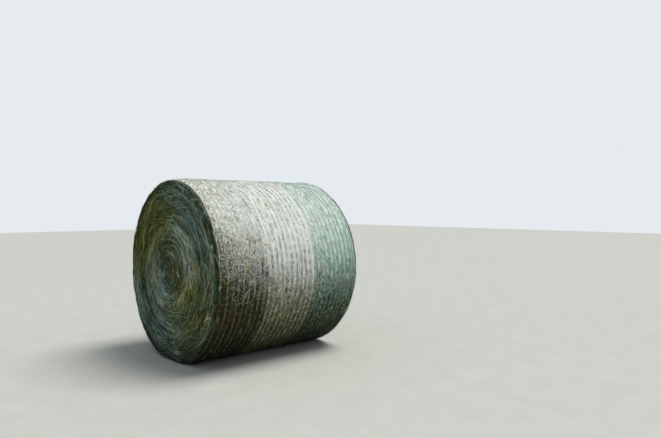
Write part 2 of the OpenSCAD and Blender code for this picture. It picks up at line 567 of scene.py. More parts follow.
@dataclass(frozen=True)
class TapeFinish:
    """The stretched tape of the net, which dust and hay dull in places; a painted sheen pales the teal tape
    high up, and painted shade darkens the tape low down.

    Attributes:
        clean: Its colour where it is clean.
        dust_and_sheen: Its colour on the upper side, under dust; on the teal tape it is paler, a painted
            sheen.
        soiled_and_shaded: Its colour in the lower part, darker by dirt and by painted shade.
        reach: How much of the upper side takes that upper colour.
        cleaner_along: How much cleaner it gets along the axis.
        dust_and_sheen_higher: How much more of the upper colour it takes higher up: dust, and on the teal
            tape painted sheen.
        lag: How much later than the hay it takes its lower colour.
        dust_and_sheen_z: The height from which that counts.
        shade_z: The height below which it lies in the bale's own shade.
    """

    clean: Colour
    dust_and_sheen: Colour
    soiled_and_shaded: Colour
    reach: float
    cleaner_along: float = 0.0
    dust_and_sheen_higher: float = 0.0
    lag: float = 0.0
    dust_and_sheen_z: float = 1.0
    shade_z: float = 0.5

    def material(self, name: str) -> bpy.types.Material:
        """Makes a slightly glossy plastic tape.

        Args:
            name: The material's name.

        Returns:
            The material, which reads Object coordinates.
        """
        sheet = Sheet(bpy.data.materials.new(name))
        place = sheet.place()
        _, along, height = sheet.parts(place)
        dust = sheet.noise(place, 38.0, 4.0, 0.7)
        ribs = sheet.noise(place, 260.0, 2.0)
        share = (dust - 0.5) * 3.0 + self.reach + (ribs - 0.5) * 0.8 - along * self.cleaner_along
        # Higher up it takes more of the upper colour: dust, and on the teal tape painted sheen
        share = share + (height - self.dust_and_sheen_z) * self.dust_and_sheen_higher
        upper = sheet.ramp(share, [(0.15, self.clean), (0.85, self.dust_and_sheen)])
        # The lower colour: real dirt and painted shade, darker still below shade_z
        dark = (self.soiled_and_shaded[0] * 0.5, self.soiled_and_shaded[1] * 0.5, self.soiled_and_shaded[2] * 0.4)
        shaded = (self.shade_z - height).math("MAXIMUM", 0.0) * 1.6
        lower = sheet.ramp((dust - 0.5) * 4.0 + 0.45 + shaded, [(0.1, self.soiled_and_shaded), (0.9, dark)])
        wet_and_shade = sheet.damp_and_shade(place)
        soil_and_shade = (wet_and_shade * ((dust - 0.5) * (1.2 - wet_and_shade) * 4.0 + 1.0) - self.lag) * (1 / (1 - 2 * self.lag))
        return sheet.close(sheet.mix(soil_and_shade.kept(), upper, lower), 0.5, ribs, 0.0008)


class Waves:
    """A smooth random height over the round side, whose waves close on themselves round the bale."""

    def __init__(self, seed: int, count: int, longest: float, shortest: float, girth_r: float) -> None:
        """Draws the waves.

        Args:
            seed: Seed of the random numbers.
            count: Number of waves.
            longest: The longest wave.
            shortest: The shortest wave.
            girth_r: Radius of the circle that they run round.
        """
        rng = np.random.default_rng(seed)
        length = np.exp(rng.uniform(math.log(shortest), math.log(longest), count))
        heading = rng.uniform(0, 2 * math.pi, count)
        self.round = np.round(2 * math.pi / length * np.cos(heading) * girth_r)
        self.along = 2 * math.pi / length * np.sin(heading)
        self.phase = rng.uniform(0, 2 * math.pi, count)

    def at(self, angle: Array, along: Array) -> Array:
        """Adds the waves up.

        Args:
            angle: Angles round the axis.
            along: Places along the axis.

        Returns:
            The height at each place, with a spread of about 1.
        """
        total = np.zeros(np.broadcast(angle, along).shape)
        for n, k, p in zip(self.round, self.along, self.phase, strict=True):
            total += np.sin(n * angle + k * along + p)
        return total * math.sqrt(2 / len(self.phase))


@dataclass(frozen=True)
class Hollow:
    """A place on the round side where hay is missing."""

    angle: float
    along: float
    half_angle: float
    half_width: float
    depth: float

    def at(self, angle: Array, along: Array) -> Array:
        """Returns how much each place lies in the hollow, from 0 to 1."""
        turned = np.mod(angle - self.angle + math.pi, 2 * math.pi) - math.pi
        return np.exp(-((turned / self.half_angle) ** 2) - ((along - self.along) / self.half_width) ** 2)


@dataclass
class BaleForm:
    """The bale's form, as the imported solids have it, on which everything else is laid."""

    hay_r: float = 0.8376
    half_w: float = 0.7825
    axis_z: float = 0.805
    sole_z: float = 0.0029
    shoulder_r: float = 0.042
    shoulder_y: float = 0.7315
    core_r: float = 0.125
    core_dish: float = 0.014
    lap_play: float = 0.009
    lap_edge_r: float = 0.012
    lap_pitch: float = 0.04388
    tail_at: float = math.radians(-150)
    near_step: float = math.radians(140)
    far_step: float = math.radians(105)
    near_wrap: float = math.radians(36)
    far_bare: float = 0.009
    eye: tuple[float, float] = (-0.05, 0.03)
    chain_pitch: float = 0.053
    chain_shift: float = -0.013
    bulge: float = 0.0045
    bulge_fade: float = 0.03
    lump: float = 0.0022
    least_z: float = 0.0003
    groove: float = 0.8
    hollows: tuple[Hollow, ...] = (
        Hollow(math.radians(1), -0.318, 0.055, 0.022, 0.016),
        Hollow(math.radians(-13), -0.292, 0.17, 0.014, 0.010),
        Hollow(math.radians(0), -0.365, 0.03, 0.012, 0.008),
        Hollow(math.radians(-16), -0.43, 0.16, 0.010, 0.005),
        Hollow(math.radians(-17), -0.375, 0.16, 0.010, 0.005),
    )
    waves: Waves = field(init=False)
    press: Waves = field(init=False)
    bury: Waves = field(init=False)
    flecks: Waves = field(init=False)

    def __post_init__(self) -> None:
        """Draws the unevenness of the round side."""
        self.waves = Waves(11, 46, 0.55, 0.07, self.hay_r)
        self.press = Waves(12, 24, 0.5, 0.06, self.hay_r)
        self.bury = Waves(13, 30, 0.3, 0.04, self.hay_r)
        self.flecks = Waves(14, 60, 0.07, 0.022, self.hay_r)

    def level(self, angle: Array) -> Array:
        """Returns how high over the ground the plain roll of hay lies at each angle."""
        return self.axis_z + self.hay_r * np.sin(angle)

    def lined(self, along: Array) -> Array:
        """Returns the share of each place along the axis in the stretch where the net lies closest."""
        return LINED.share(np.abs(along - LINED_AT))

    def between(self, along: Array) -> Array:
        """Returns how far off the chain cords each place along the axis lies, from 0 to 1 half way."""
        return np.abs(np.sin(math.pi * (along - self.chain_shift) / self.chain_pitch))

    def swell(self, angle: Array, along: Array) -> Array:
        """How far the hay stands over its plain roll: it bulges out between the chain cords.

        Args:
            angle: Angles round the axis, from +X towards +Z.
            along: Places along the axis, measured over the shoulders.

        Returns:
            The heights.
        """
        netted = np.clip((self.shoulder_y - np.abs(along)) / self.bulge_fade, 0, 1)
        tight = np.clip(0.75 + 0.25 * self.press.at(angle, along), 0, 1.2)
        bulged = self.bulge * netted * tight * self.between(along) ** 0.7
        plain = bulged + self.lump * self.waves.at(angle, along)
        return plain - sum(hollow.depth * hollow.at(angle, along) for hollow in self.hollows)

    def on_side(self, angle: Array, along: Array, height: Array) -> Array:
        """Lays points on the round side, over its shoulders and flat under the bale.

        Args:
            angle: Angles round the axis, from +X towards +Z.
            along: Places along the axis, measured over the shoulders and down the end faces.
            height: Heights over the plain roll of hay.

        Returns:
            The points, with their three coordinates last.
        """
        past = np.abs(along) - self.shoulder_y
        turn = np.clip(past / self.shoulder_r, 0, math.pi / 2)
        down = np.maximum(past - self.shoulder_r * math.pi / 2, 0)
        bent = past > 0
        radius = np.where(
            bent,
            self.hay_r - self.shoulder_r + (self.shoulder_r + height) * np.cos(turn) - down,
            self.hay_r + height,
        )
        y = np.where(bent, self.shoulder_y + (self.shoulder_r + height) * np.sin(turn), np.abs(along))
        z = self.axis_z + radius * np.sin(angle)
        level = np.maximum(self.sole_z - height, self.least_z)
        return np.stack([radius * np.cos(angle), y * np.sign(along), np.maximum(z, level)], axis=-1)

    def face_y(self, angle: Array, radius: Array, end: End) -> Array:
        """How far from the middle the rolled turns reach at an end face.

        Args:
            angle: Angles round the axis.
            radius: Distances from the axis.
            end: The end face.

        Returns:
            The distances from the middle of the bale.
        """
        turned = np.mod(angle - self.tail_at, 2 * math.pi) / (2 * math.pi)
        count = (radius - self.core_r) / self.lap_pitch - turned
        lap = np.floor(count)
        step = self.near_step if end is End.NEAR else self.far_step
        back = self.lap_play * (1 - np.cos(step * lap)) / 2
        inside = np.minimum(count - lap, lap + 1 - count) * self.lap_pitch
        edge = np.clip(1 - inside / self.lap_edge_r, 0, 1)
        groove = self.lap_edge_r * (1 - np.sqrt(1 - edge**2)) * self.groove
        return np.where(lap < 0, self.half_w - self.core_dish, self.half_w - back - groove)

    def on_face(self, angle: Array, radius: Array, proud: Array, end: End) -> Array:
        """Lays points on an end face.

        Args:
            angle: Angles round the axis.
            radius: Distances from the eye of the spiral, which lies a little off the axis.
            proud: How far they stand proud of the rolled turns.
            end: The end face.

        Returns:
            The points, with their three coordinates last.
        """
        pull = np.clip(1 - radius / self.hay_r, 0, 1) ** 2
        x = radius * np.cos(angle) + self.eye[0] * pull
        up = radius * np.sin(angle) + self.eye[1] * pull
        y = (self.face_y(np.arctan2(up, x), np.hypot(x, up), end) + proud) * end.value
        return np.stack([x, y, np.maximum(self.axis_z + up, 0.001)], axis=-1)


class Bench:
    """The steps by which a piece is made and finished by hand."""

    @staticmethod
    def clear() -> None:
        """Leaves nothing selected."""
        bpy.ops.object.select_all(action="DESELECT")

    @staticmethod
    def name(name: str) -> bpy.types.Object:
        """Names the piece that was just made, and its mesh.

        Args:
            name: The name.

        Returns:
            The piece.
        """
        piece = bpy.context.object
        piece.name = piece.data.name = name
        return piece

    @staticmethod
    def put(name: str, data: bpy.types.ID) -> bpy.types.Object:
        """Puts a new mesh, lamp or camera in the scene.

        Args:
            name: Its name.
            data: The mesh, lamp or camera.

        Returns:
            The object that shows it.
        """
        piece = bpy.data.objects.new(name, data)
        bpy.context.scene.collection.objects.link(piece)
        return piece

    @staticmethod
    @contextmanager
    def editing() -> Iterator[None]:
        """Opens the active piece in edit mode with all of it selected, and closes it again.

        Yields:
            Nothing, while the piece is open.
        """
        bpy.ops.object.mode_set(mode="EDIT")
        bpy.ops.mesh.select_all(action="SELECT")
        yield
        bpy.ops.object.mode_set(mode="OBJECT")

    @staticmethod
    def points(piece: bpy.types.Object) -> Array:
        """Reads a piece's points.

        Args:
            piece: The piece.

        Returns:
            The points, a row each.
        """
        flat = np.empty(len(piece.data.vertices) * 3)
        piece.data.vertices.foreach_get("co", flat)
        return flat.reshape(-1, 3)

    @staticmethod
    def set_points(piece: bpy.types.Object, points: Array) -> None:
        """Moves a piece's points."""
        piece.data.vertices.foreach_set("co", points.reshape(-1).astype(np.float32))
        piece.data.update()

    @staticmethod
    def set_map(piece: bpy.types.Object, name: str, corners: Array) -> None:
        """Gives a piece a map, with a place for each corner of each face."""
        layer = piece.data.uv_layers.get(name) or piece.data.uv_layers.new(name=name)
        layer.data.foreach_set("uv", corners.reshape(-1).astype(np.float32))

    @staticmethod
    def paint(piece: bpy.types.Object, material: bpy.types.Material) -> None:
        """Gives a piece one material all over."""
        piece.data.materials.clear()
        piece.data.materials.append(material)

    @staticmethod
    def mount(piece: bpy.types.Object, slot: str, material: bpy.types.Material, *nodes: str) -> None:
        """Dresses a piece, puts it on the bale and reports it.

        Args:
            piece: The finished piece.
            slot: The record's material slot; not used.
            material: Its finish.
            nodes: The CAD nodes that it stands for.
        """
        Bench.paint(piece, material)
        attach(piece, "root")
        if nodes:
            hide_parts(*nodes)
        LOG.info("%s: %d faces", piece.name, len(piece.data.polygons))


class Bundle:
    """Many small forms that are copied from one, as one joined mesh.

    Attributes:
        sides: Number of a stem's sides.
        tip_r: Distance from a stem's own axis within which a point is its tip.
        cell_ratio: How many times wider than high each copy's cell of the map is.
        cell_margin: Room left at each side of a cell, as a share of it.
    """

    sides: int = 3
    tip_r: float = 1e-4
    cell_ratio: float = 2.6
    cell_margin: float = 0.06

    def __init__(self, model: bpy.types.Object) -> None:
        """Takes over the points and triangles of a model.

        Args:
            model: The model, which lies along X and is one unit long and wide; it is deleted.
        """
        self.points = Bench.points(model)
        model.data.calc_loop_triangles()
        self.faces = np.array([t.vertices[:] for t in model.data.loop_triangles])
        self.corners = self._unroll()
        mesh = model.data
        bpy.data.objects.remove(model)
        bpy.data.meshes.remove(mesh)

    @classmethod
    def tips(cls, points: Array) -> Array:
        """Returns which of a stem's points are its tips: those in the middle of its three sides."""
        return np.hypot(points[:, 1], points[:, 2]) < cls.tip_r

    def _unroll(self) -> Array:
        """Unrolls the model's faces side by side.

        Returns:
            For each corner of each triangle, its place in a unit square.
        """
        sides, tip = self.sides, self.tips(self.points)
        around = np.arctan2(self.points[:, 2], self.points[:, 1]) / (2 * math.pi) * sides
        start = around[~tip].min()
        around = np.round(np.mod(around - start, sides))
        corners = np.empty((len(self.faces), 3, 2))
        for i, face in enumerate(self.faces):
            turns = np.unique(around[face][~tip[face]])
            low = turns.max() if turns.min() == 0 and turns.max() == sides - 1 else turns.min()
            v = np.where(tip[face], low + 0.5, low + np.mod(around[face] - low, sides))
            corners[i] = np.stack([self.points[face, 0] + 0.5, v / sides], axis=-1)
        return corners

    def lay(self, name: str, placed: Array, tint: Array) -> bpy.types.Object:
        """Makes the joined mesh.

        Args:
            name: The piece's name.
            placed: For each copy, the model's points where they belong.
            tint: For each copy, its tone, warmth, light and hue.

        Returns:
            The piece.
        """
        copies, each = placed.shape[:2]
        faces = (self.faces[None] + np.arange(copies)[:, None, None] * each).reshape(-1, 3)
        mesh = bpy.data.meshes.new(name)
        mesh.vertices.add(copies * each)
        mesh.vertices.foreach_set("co", placed.reshape(-1).astype(np.float32))
        mesh.loops.add(faces.size)
        mesh.loops.foreach_set("vertex_index", faces.reshape(-1).astype(np.int32))
        mesh.polygons.add(len(faces))
        mesh.polygons.foreach_set("loop_start", np.arange(0, faces.size, 3, dtype=np.int32))
        mesh.update(calc_edges=True)
        mesh.validate()
        piece = Bench.put(name, mesh)
        colours = np.broadcast_to(tint[:, None], (copies, each, 4))
        layer = mesh.color_attributes.new("tint", "FLOAT_COLOR", "POINT")
        layer.data.foreach_set("color", colours.reshape(-1).astype(np.float32))
        columns = math.ceil(math.sqrt(copies / self.cell_ratio))
        rows = math.ceil(copies / columns)
        cell = np.stack(np.divmod(np.arange(copies), columns)[::-1], axis=-1)
        inset = self.cell_margin + (1 - 2 * self.cell_margin) * self.corners
        places = (cell[:, None, None] + inset[None]) / np.array([columns, rows])
        Bench.set_map(piece, "OFBake", places)
        return piece


@dataclass
class HaySkin:
    """The outermost turn of the mat: packed hay with its bulges, shoulders and edges."""

    form: BaleForm
    around: int = 400
    along: int = 128
    edge_down: float = 0.03
    edge_sunk: float = 0.006

    def build(self) -> bpy.types.Object:
        """Wraps a fine grid round the bale and closes it inside.

        Returns:
            The piece.
        """
        Bench.clear()
        bpy.ops.mesh.primitive_grid_add(x_subdivisions=self.around, y_subdivisions=self.along, size=1)
        piece = Bench.name("hay_skin")
        half = self.form.shoulder_y + self.form.shoulder_r * math.pi / 2 + self.edge_down
        flat = Bench.points(piece)
        angle = (flat[:, 0] + 0.5) * 2 * math.pi - math.pi / 2
        along = flat[:, 1] * 2 * half
        self._map(piece, flat, half)
        sink = np.clip((np.abs(along) - half + self.edge_down) / self.edge_down, 0, 1)
        height = self.form.swell(angle, along) * (1 - sink) - self.edge_sunk * sink
        Bench.set_points(piece, self.form.on_side(angle, along, height))
        with Bench.editing():
            bpy.ops.mesh.remove_doubles(threshold=1e-5)
            bpy.ops.mesh.select_all(action="DESELECT")
            bpy.ops.mesh.select_mode(type="EDGE")
            bpy.ops.mesh.select_non_manifold()
            bpy.ops.mesh.bridge_edge_loops()
            bpy.ops.mesh.select_all(action="SELECT")
            bpy.ops.mesh.normals_make_consistent(inside=False)
        bpy.ops.object.shade_smooth()
        return piece

    def _map(self, piece: bpy.types.Object, flat: Array, half: float) -> None:
        """Gives the grid its lengthwise map in metres.

        Args:
            piece: The flat grid.
            flat: Its points.
            half: Half its width once laid, measured over the shoulders.
        """
        corner = np.empty(len(piece.data.loops), dtype=np.int64)
        piece.data.loops.foreach_get("vertex_index", corner)
        size = np.array([2 * math.pi * self.form.hay_r, 2 * half])
        Bench.set_map(piece, "lay", flat[corner, :2] * size)

    def dress(self, piece: bpy.types.Object) -> None:
        """Finishes the skin and puts it in place of the mat's outermost turn."""
        Bench.mount(piece, "hay", SkinFinish().material(), "tail_lap")


@dataclass
class StemModel:
    """One dry stem or leaf, modelled once: three-sided and pointed at both ends."""

    rings: int = 2
    shoulder: float = 0.32
    joined: float = 0.02

    def build(self) -> Bundle:
        """Models the stem along X, one unit long and one unit wide.

        Returns:
            The stem, ready to be copied.
        """
        Bench.clear()
        depth = self.joined if self.rings == 1 else 2 * self.shoulder
        bpy.ops.mesh.primitive_cylinder_add(
            vertices=Bundle.sides,
            radius=0.5,
            depth=depth,
            end_fill_type="TRIFAN",
            rotation=(0, math.pi / 2, 0),
        )
        bpy.ops.object.transform_apply(rotation=True)
        stem = Bench.name("stem")
        with Bench.editing():
            for cut in range(self.rings - 2):
                at = self.shoulder * (2 * (cut + 1) / (self.rings - 1) - 1)
                bpy.ops.mesh.bisect(plane_co=(at, 0, 0), plane_no=(1, 0, 0))
                bpy.ops.mesh.select_all(action="SELECT")
            bpy.ops.mesh.quads_convert_to_tris()
        points = Bench.points(stem)
        tip = Bundle.tips(points)
        points[tip, 0] = np.sign(points[tip, 0]) * 0.5
        Bench.set_points(stem, points)
        if self.rings == 1:
            with Bench.editing():
                bpy.ops.mesh.remove_doubles(threshold=1.5 * self.joined)
        return Bundle(stem)


@dataclass(frozen=True)
class Pose:
    """How each of many stems lies: where, which way it heads, how it tilts and how far it stands proud."""

    angle: Array
    place: Array
    heading: Array
    tilt: Array
    rise: Array

    def turn(self, model: Array, size: Sequence[Array]) -> tuple[Array, Array, Array, Array]:
        """Sizes and turns the model's points for each stem.

        Args:
            model: The points of the model, a row each.
            size: Length, width and thickness of each stem.

        Returns:
            Of each stem's points, how far round, how far over, how thick there and how far lifted.
        """
        local = model[None] * np.stack(size, axis=-1)[:, None]
        cos, sin = np.cos(self.heading)[:, None], np.sin(self.heading)[:, None]
        around = local[..., 0] * cos - local[..., 1] * sin
        over = local[..., 0] * sin + local[..., 1] * cos
        return around, over, local[..., 2], local[..., 0] * self.tilt[:, None]


@dataclass(frozen=True)
class Cut:
    """One sort of hay on the round side.

    Attributes:
        name: Its name.
        count: The number of pieces at each end.
        length: Their least and greatest length.
        width: Their least and greatest width.
        thick: Their least and greatest thickness.
        turn: How far they turn off the way round, as a spread.
        slack: The share that lies straight over the bulges.
        poking: The share that pokes out through the net.
    """

    name: str
    count: int
    length: Span
    width: Span
    thick: Span
    turn: float
    slack: float
    poking: float


STALKS = Cut("stalks", 6300, (0.045, 0.12), (0.003, 0.0055), (0.001, 0.002), 0.8, 0.15, 0.06)
LEAVES = Cut("leaves", 13600, (0.012, 0.032), (0.0045, 0.009), (0.001, 0.0016), 1.4, 0.35, 0.42)


@dataclass
class SideTint:
    """The colours of loose hay on the round side, by what tells on them at each place, painted light and
    shade among them.
    """

    form: BaleForm
    rng: np.random.Generator
    angle: Array
    along: Array
    level: Array
    rise: Array
    bare_w: float = 0.005
    hollow: Array = field(init=False)
    lined: Array = field(init=False)
    thin: Array = field(init=False)
    high: Array = field(init=False)
    deep: Array = field(init=False)
    bulged: Array = field(init=False)
    valley: Array = field(init=False)
    wet_and_shade: Array = field(init=False)
    middle: Array = field(init=False)

    def __post_init__(self) -> None:
        """Works out how much dampness and painted shade each place has, and how far the net covers it."""
        form = self.form
        self.hollow = np.clip(sum(h.at(self.angle, self.along) for h in form.hollows), 0, 1)
        self.lined, self.thin = form.lined(self.along), THIN.share(self.along)
        self.high, self.deep = HIGH.share(self.level), DEEP.share(self.level)
        self.bulged, self.valley = form.between(self.along) ** 3, (1 - form.between(self.along)) ** 1.3
        wet_and_shade = damp_and_shade(self.level + 0.06 * form.press.at(self.angle, self.along), self.along)
        self.wet_and_shade = wet_and_shade + self.lined * (2.3 * wet_and_shade * (1 - wet_and_shade) ** 5 - 0.6 * (wet_and_shade * (1 - wet_and_shade)) ** 2)
        self.middle = 4 * self.wet_and_shade * (1 - self.wet_and_shade)

    def _draw(self, spread: float = 1.0) -> Array:
        """Draws a random value for each piece of hay."""
        return self.rng.normal(0, spread, len(self.angle))

    def _mottled_and_shaded(self) -> Array:
        """Draws how much darker than the hay round it each piece is, by dampness and by painted shade: mostly
        half way up.

        Returns:
            The shares, some of them below 0.
        """
        drawn = 0.6 * self._draw() + 0.8 * self.form.flecks.at(self.angle, self.along)
        near = 1 + 0.35 * (1 - self.lined) * (self.along < 0)
        return drawn * (0.04 + 0.46 * self.middle) * near * (1 - 0.55 * self.lined * np.sqrt(self.wet_and_shade))

    def _tone(self, mottled_and_shaded: Array) -> Array:
        """Draws each piece's tone: more even in the sun, darker between the cords, with painted shade in
        hollows and flecks.

        Args:
            mottled_and_shaded: How much darker than the hay round it each piece is, by dampness and painted
                shade.

        Returns:
            The tones.
        """
        spread = (0.075 + 0.085 * self.wet_and_shade + 0.1 * self.thin * self.middle) * (1 - 0.75 * self.high)
        tone = 0.76 + self._draw() * spread + 0.03 * self.form.waves.at(self.angle, self.along)
        tone += self._draw(0.2) * self.wet_and_shade * (1 - 0.6 * self.lined) * (1 - 0.5 * self.deep)
        tone += self.wet_and_shade * (0.18 * self.lined - 0.06 * self.thin - 0.02)
        tone -= 0.3 * self.hollow + 0.5 * np.maximum(mottled_and_shaded, 0)
        return tone - self.bulged * (0.02 + 0.1 * self.middle + 0.03 * self.wet_and_shade)

    def _light(self) -> Array:
        """Works out the light on each piece: less deep in the hay, low down and between the cords.

        Returns:
            The shares of light.
        """
        bulge = self.bulged * (0.02 + 0.1 * (1 - self.thin) * self.middle)
        valley = 0.7 * self.valley * self.thin * np.sqrt(self.middle)
        light = np.clip(0.95 + 20 * self.rise, 0.6, 1.05) * (1 - bulge) * (1 - valley)
        light *= 1 - (0.42 + 0.23 * self.deep) * self.thin * self.wet_and_shade**3
        light *= 1 - 0.75 * FOOT.share(self.level) - 0.15 * self.high
        return light * (1 - 0.2 * self.bulged * self.lined * self.deep)

    def _hue(self, wet_and_shade: Array) -> Array:
        """Draws each piece's hue: yellower where dampness and painted shade darken it, greener under the
        close and teal net.

        Args:
            wet_and_shade: How dark each piece looks, by dampness and painted shade.

        Returns:
            The hues.
        """
        green = GREEN.share(self.along)
        hue = 0.5 + self._draw() * (0.38 + 0.15 * wet_and_shade) - 0.15 * self.middle - 0.35 * self.thin * wet_and_shade**2
        hue += 0.35 * self.lined * wet_and_shade + green * (0.25 + 0.45 * wet_and_shade)
        return np.clip(hue, 0, 0.85 + 0.15 * green)

    def values(self, bare_wet_and_shade: float) -> Array:
        """Draws the tints.

        Args:
            bare_wet_and_shade: How dark the shoulder looks beyond the net's edge, by dampness and painted
                shade.

        Returns:
            Each piece's tone, dampness with painted shade, light and hue.
        """
        mottled_and_shaded = self._mottled_and_shaded()
        tone = np.clip(self._tone(mottled_and_shaded), 0.03, 1)
        # Darkness by dampness and painted shade: set on the bare shoulders beyond the net, deeper in the
        # hollows and flecks elsewhere
        bare = np.abs(self.along) > self.form.shoulder_y - self.bare_w
        wet_and_shade = np.where(bare, bare_wet_and_shade, np.clip(self.wet_and_shade + mottled_and_shaded + self.hollow, 0, 1))
        return np.stack([tone, wet_and_shade, self._light(), self._hue(wet_and_shade)], axis=-1)


@dataclass
class SideStems:
    """The stalks or leaves that lie on the round side, under, between and through the net's threads.

    Attributes:
        form: The bale's form.
        bundle: The modelled piece to copy.
        cut: The sort of hay.
        end: Which half of the round side they lie on.
        tufts: Where some of them stand out.
        tuft_rise: How far these stand proud.
        over_shoulder: How far down the shoulder they lie, in its radii.
        bed: How deep or proud the others lie.
        poke: How far out the ones lie that poke through the net.
        fringe_w: Width of the fringe that is left beyond the net's far edge.
        fringe_rise: How far it stands out at most.
        tilt: How far the stems tilt, as a spread.
        tuft_turn: How far a tuft's stems turn off its heading, as a spread.
        tuft_tint: Tone, dampness with painted shade, light and hue of a tuft.
        near_wet_and_shade: How dark the near shoulder looks beyond the net, by dampness and by painted shade.
        far_wet_and_shade: The same for the far one, which is painted in less shade.
    """

    form: BaleForm
    bundle: Bundle
    cut: Cut
    end: End
    tufts: tuple[Tuft, ...] = ()
    tuft_rise: Span = (0.006, 0.012)
    over_shoulder: float = 1.5
    bed: Span = (-0.001, 0.0015)
    poke: Span = (0.003, 0.0065)
    fringe_w: float = 0.01
    fringe_rise: float = 0.008
    tilt: float = 0.03
    tuft_turn: float = 0.3
    tuft_tint: tuple[float, float, float, float] = (0.85, 0.1, 1.0, 0.7)
    near_wet_and_shade: float = 0.85
    far_wet_and_shade: float = 0.6

    def build(self) -> bpy.types.Object:
        """Scatters the pieces of hay over one half of the round side.

        Returns:
            The piece.
        """
        cut, n = self.cut, self.cut.count
        rng = np.random.default_rng(SIDE_SEED + self.end.value)
        reach = self.form.shoulder_y + self.form.shoulder_r * self.over_shoulder
        along = self.end.value * rng.uniform(0, 1, n) * reach
        angle = rng.uniform(-math.pi, math.pi, n)
        size = [rng.uniform(*limits, n) for limits in (cut.length, cut.width, cut.thick)]
        level = self.form.level(angle)
        wet_and_shade = damp_and_shade(level, along)
        poking = rng.uniform(*self.poke, n) * (rng.random(n) < cut.poking) * (0.3 + 0.7 * wet_and_shade)
        poking *= 1 - 0.7 * np.maximum(DEEP.share(level), self.form.lined(along) * wet_and_shade)
        rise = rng.uniform(*self.bed, n) + rng.uniform(0, self.bed[1], n) * wet_and_shade + poking
        fringe = along > self.form.shoulder_y - self.fringe_w
        rise += np.where(fringe, rng.uniform(0, self.fringe_rise, n), 0)
        heading, first = rng.normal(0, cut.turn, n), 0
        for tuft in self.tufts:
            part = slice(first, first + tuft.count)
            aside = rng.normal(0, tuft.spread, tuft.count) / self.form.hay_r
            angle[part] = math.radians(tuft.angle) + aside
            along[part] = tuft.place + rng.normal(0, tuft.spread, tuft.count)
            heading[part] = tuft.heading + rng.normal(0, self.tuft_turn, tuft.count)
            size[0][part], rise[part] = tuft.length, rng.uniform(*self.tuft_rise, tuft.count)
            first = part.stop
        tilt = rng.normal(0, self.tilt, n) * (1 - 0.7 * HIGH.share(self.form.level(angle)))
        return self._lay(rng, Pose(angle, along, heading, tilt, rise), size, np.arange(n) < first)

    def _lay(
        self, rng: np.random.Generator, pose: Pose, size: Sequence[Array], tufted: Array
    ) -> bpy.types.Object:
        """Lays the pieces on the hay and gives them their tints.

        Args:
            rng: The piece's random numbers.
            pose: How each lies, placed along the axis.
            size: Length, width and thickness of each.
            tufted: Whether each belongs to a tuft.

        Returns:
            The piece.
        """
        angle, along = pose.angle, pose.place
        slack = rng.random(len(angle)) < self.cut.slack
        around, over, thick, lift = pose.turn(self.bundle.points, size)
        angles, alongs = angle[:, None] + around / self.form.hay_r, along[:, None] + over
        ground, under = self.form.swell(angle, along)[:, None], self.form.swell(angles, alongs)
        height = np.where(slack[:, None], ground, under) + pose.rise[:, None] + thick + lift
        placed = self.form.on_side(angles, alongs, height)
        tint = SideTint(self.form, rng, angle, along, placed[..., 2].mean(axis=1), pose.rise)
        # The near shoulder is painted in deeper shade than the far one
        tints = tint.values(self.far_wet_and_shade if self.end is End.FAR else self.near_wet_and_shade)
        tints[tufted] = self.tuft_tint
        return self.bundle.lay(f"{self.cut.name}_{self.end.name.lower()}", placed, tints)


